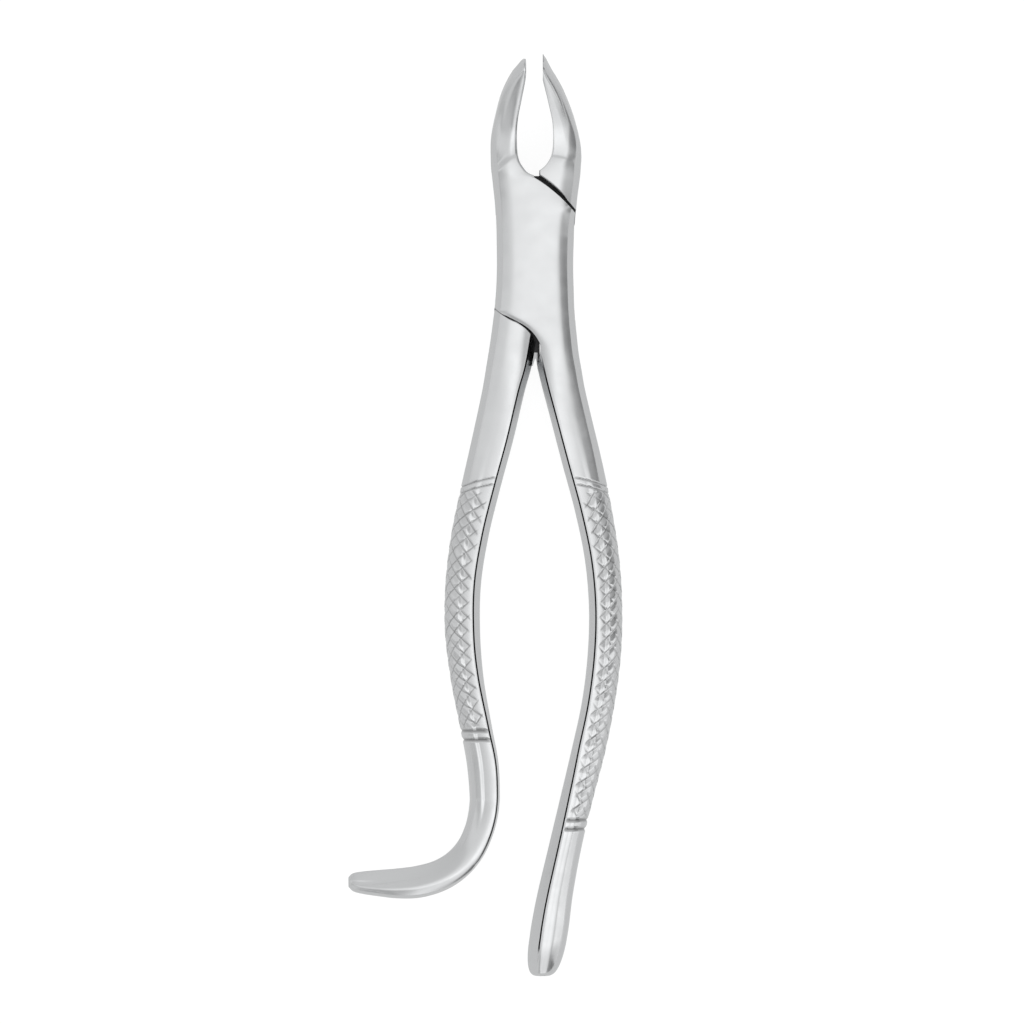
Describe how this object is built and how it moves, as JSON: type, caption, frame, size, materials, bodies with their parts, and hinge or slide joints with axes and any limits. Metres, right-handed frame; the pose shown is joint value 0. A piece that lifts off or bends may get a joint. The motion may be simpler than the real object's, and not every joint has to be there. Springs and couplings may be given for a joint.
{
  "type": "dental extraction forceps",
  "caption": "Steel tooth extraction forceps with a box joint, bent beaks, cross-cut grips and a finger hook on one handle.",
  "frame": {"origin": "where the pivot axis meets the joint's flat back face", "axes": "+Y from the pivot towards the beak tips, +Z along the pivot axis out of the front face, +X to the straight handle's side; the finger hook is on -X"},
  "size_m": [0.0529, 0.1769, 0.0129],
  "materials": {
    "steel": "satin polished stainless steel"
  },
  "bodies": {
    "box_body": {"box_half": "steel", "joint_rivet": "steel"},
    "hook_body": {"hook_half": "steel"}
  },
  "joints": [
    {"name": "pivot", "type": "hinge", "parent": "box_body", "child": "hook_body", "pos_m": [0, 0, 0.0044], "axis": [0, 0, -1], "range_deg": [-2.4, 30]}
  ]
}
